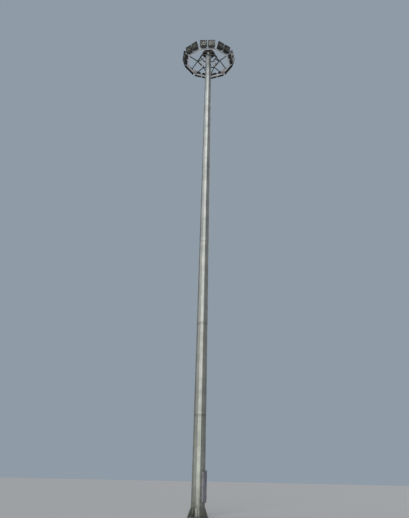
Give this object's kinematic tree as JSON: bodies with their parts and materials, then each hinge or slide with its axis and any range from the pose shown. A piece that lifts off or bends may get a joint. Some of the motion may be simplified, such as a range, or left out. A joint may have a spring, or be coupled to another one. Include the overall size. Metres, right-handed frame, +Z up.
{
  "type": "high mast floodlight tower",
  "caption": "Tall twelve-sided tapered steel mast with slip joints, a winch door and a nine-sided floodlight ring that is lowered on ropes from a hooded head.",
  "frame": {"origin": "centre of the base flange's underside", "axes": "+Z up the mast, -Y towards the side of the ring that faces the camera, door 60 degrees round from -Y towards +X"},
  "size_m": [3.1646, 3.1185, 25.9066],
  "materials": {
    "shaft_steel": "hot-dip galvanised, dull spangle",
    "base_steel": "hot-dip galvanised, stained",
    "door_steel": "hot-dip galvanised sheet",
    "fitting_steel": "zinc plated",
    "winch_paint": "satin enamel over cast iron",
    "rope_steel": "greased wire rope",
    "hood_sheet": "dark sheet, weathered",
    "wheel_iron": "turned groove",
    "roller_nylon": "black nylon",
    "box_aluminium": "cast, unpainted",
    "housing_aluminium": "die cast, dark powder coat",
    "flood_glass": "clear toughened glass",
    "carriage_steel": "hot-dip galvanised bar"
  },
  "bodies": {
    "mast": {"base_flange": "base_steel", "base_gussets": "base_steel", "door_frame": "door_steel", "door_hood": "door_steel", "head_hood": "hood_sheet", "head_plate": "carriage_steel", "hoist_ropes": "rope_steel", "hoist_winch": "winch_paint", "mast_foot_section": "shaft_steel", "mast_upper_sections": "shaft_steel", "rope_falls": "rope_steel", "rope_wheels": "wheel_iron", "wheel_cheeks": "carriage_steel"},
    "door": {"door_panel": "door_steel", "door_lock": "fitting_steel"},
    "carriage": {"ring_beam": "carriage_steel", "guide_frame": "carriage_steel", "ring_spokes": "carriage_steel", "lifting_ring": "carriage_steel", "lifting_arms": "carriage_steel", "roller_posts": "carriage_steel", "guide_rollers": "roller_nylon", "junction_boxes": "box_aluminium", "stirrups": "carriage_steel"},
    "floodlight_01": {"floodlight_01_glass": "flood_glass", "floodlight_01_housing": "housing_aluminium"},
    "floodlight_02": {"floodlight_02_glass": "flood_glass", "floodlight_02_housing": "housing_aluminium"},
    "floodlight_03": {"floodlight_03_glass": "flood_glass", "floodlight_03_housing": "housing_aluminium"},
    "floodlight_04": {"floodlight_04_glass": "flood_glass", "floodlight_04_housing": "housing_aluminium"},
    "floodlight_05": {"floodlight_05_glass": "flood_glass", "floodlight_05_housing": "housing_aluminium"},
    "floodlight_06": {"floodlight_06_glass": "flood_glass", "floodlight_06_housing": "housing_aluminium"},
    "floodlight_07": {"floodlight_07_glass": "flood_glass", "floodlight_07_housing": "housing_aluminium"},
    "floodlight_08": {"floodlight_08_glass": "flood_glass", "floodlight_08_housing": "housing_aluminium"},
    "floodlight_09": {"floodlight_09_glass": "flood_glass", "floodlight_09_housing": "housing_aluminium"},
    "floodlight_10": {"floodlight_10_glass": "flood_glass", "floodlight_10_housing": "housing_aluminium"},
    "floodlight_11": {"floodlight_11_glass": "flood_glass", "floodlight_11_housing": "housing_aluminium"},
    "floodlight_12": {"floodlight_12_glass": "flood_glass", "floodlight_12_housing": "housing_aluminium"},
    "floodlight_13": {"floodlight_13_glass": "flood_glass", "floodlight_13_housing": "housing_aluminium"},
    "floodlight_14": {"floodlight_14_glass": "flood_glass", "floodlight_14_housing": "housing_aluminium"},
    "floodlight_15": {"floodlight_15_glass": "flood_glass", "floodlight_15_housing": "housing_aluminium"},
    "floodlight_16": {"floodlight_16_glass": "flood_glass", "floodlight_16_housing": "housing_aluminium"},
    "floodlight_17": {"floodlight_17_glass": "flood_glass", "floodlight_17_housing": "housing_aluminium"},
    "floodlight_18": {"floodlight_18_glass": "flood_glass", "floodlight_18_housing": "housing_aluminium"}
  },
  "joints": [
    {"name": "carriage_lowering", "type": "slide", "parent": "mast", "child": "carriage", "axis": [0, 0, -1], "range_m": [0, 22.7], "deforming": ["rope_falls"]},
    {"name": "door_hinge", "type": "hinge", "parent": "mast", "child": "door", "pos_m": [0.38647, -0.04761, 1.3], "axis": [0, 0, 1], "range_deg": [0, 110]},
    {"name": "floodlight_01_tilt", "type": "hinge", "parent": "carriage", "child": "floodlight_01", "pos_m": [-0.231, -1.41, 25.2], "axis": [1, 0, 0], "range_deg": [-18, 42]},
    {"name": "floodlight_02_tilt", "type": "hinge", "parent": "carriage", "child": "floodlight_02", "pos_m": [0.231, -1.41, 25.2], "axis": [1, 0, 0], "range_deg": [-18, 42]},
    {"name": "floodlight_03_tilt", "type": "hinge", "parent": "carriage", "child": "floodlight_03", "pos_m": [0.72937, -1.22861, 25.2], "axis": [0.766, 0.6428, 0], "range_deg": [-18, 42]},
    {"name": "floodlight_04_tilt", "type": "hinge", "parent": "carriage", "child": "floodlight_04", "pos_m": [1.08329, -0.93164, 25.2], "axis": [0.766, 0.6428, 0], "range_deg": [-18, 42]},
    {"name": "floodlight_05_tilt", "type": "hinge", "parent": "carriage", "child": "floodlight_05", "pos_m": [1.34847, -0.47234, 25.2], "axis": [0.1736, 0.9848, 0], "range_deg": [-18, 42]},
    {"name": "floodlight_06_tilt", "type": "hinge", "parent": "carriage", "child": "floodlight_06", "pos_m": [1.42869, -0.01735, 25.2], "axis": [0.1736, 0.9848, 0], "range_deg": [-18, 42]},
    {"name": "floodlight_07_tilt", "type": "hinge", "parent": "carriage", "child": "floodlight_07", "pos_m": [1.3366, 0.50495, 25.2], "axis": [-0.5, 0.866, 0], "range_deg": [-18, 42]},
    {"name": "floodlight_08_tilt", "type": "hinge", "parent": "carriage", "child": "floodlight_08", "pos_m": [1.1056, 0.90505, 25.2], "axis": [-0.5, 0.866, 0], "range_deg": [-18, 42]},
    {"name": "floodlight_09_tilt", "type": "hinge", "parent": "carriage", "child": "floodlight_09", "pos_m": [0.69932, 1.24596, 25.2], "axis": [-0.9397, 0.342, 0], "range_deg": [-18, 42]},
    {"name": "floodlight_10_tilt", "type": "hinge", "parent": "carriage", "child": "floodlight_10", "pos_m": [0.26518, 1.40397, 25.2], "axis": [-0.9397, 0.342, 0], "range_deg": [-18, 42]},
    {"name": "floodlight_11_tilt", "type": "hinge", "parent": "carriage", "child": "floodlight_11", "pos_m": [-0.26518, 1.40397, 25.2], "axis": [-0.9397, -0.342, 0], "range_deg": [-18, 42]},
    {"name": "floodlight_12_tilt", "type": "hinge", "parent": "carriage", "child": "floodlight_12", "pos_m": [-0.69932, 1.24596, 25.2], "axis": [-0.9397, -0.342, 0], "range_deg": [-18, 42]},
    {"name": "floodlight_13_tilt", "type": "hinge", "parent": "carriage", "child": "floodlight_13", "pos_m": [-1.1056, 0.90505, 25.2], "axis": [-0.5, -0.866, 0], "range_deg": [-18, 42]},
    {"name": "floodlight_14_tilt", "type": "hinge", "parent": "carriage", "child": "floodlight_14", "pos_m": [-1.3366, 0.50495, 25.2], "axis": [-0.5, -0.866, 0], "range_deg": [-18, 42]},
    {"name": "floodlight_15_tilt", "type": "hinge", "parent": "carriage", "child": "floodlight_15", "pos_m": [-1.42869, -0.01735, 25.2], "axis": [0.1736, -0.9848, 0], "range_deg": [-18, 42]},
    {"name": "floodlight_16_tilt", "type": "hinge", "parent": "carriage", "child": "floodlight_16", "pos_m": [-1.34847, -0.47234, 25.2], "axis": [0.1736, -0.9848, 0], "range_deg": [-18, 42]},
    {"name": "floodlight_17_tilt", "type": "hinge", "parent": "carriage", "child": "floodlight_17", "pos_m": [-1.08329, -0.93164, 25.2], "axis": [0.766, -0.6428, 0], "range_deg": [-18, 42]},
    {"name": "floodlight_18_tilt", "type": "hinge", "parent": "carriage", "child": "floodlight_18", "pos_m": [-0.72937, -1.22861, 25.2], "axis": [0.766, -0.6428, 0], "range_deg": [-18, 42]}
  ]
}
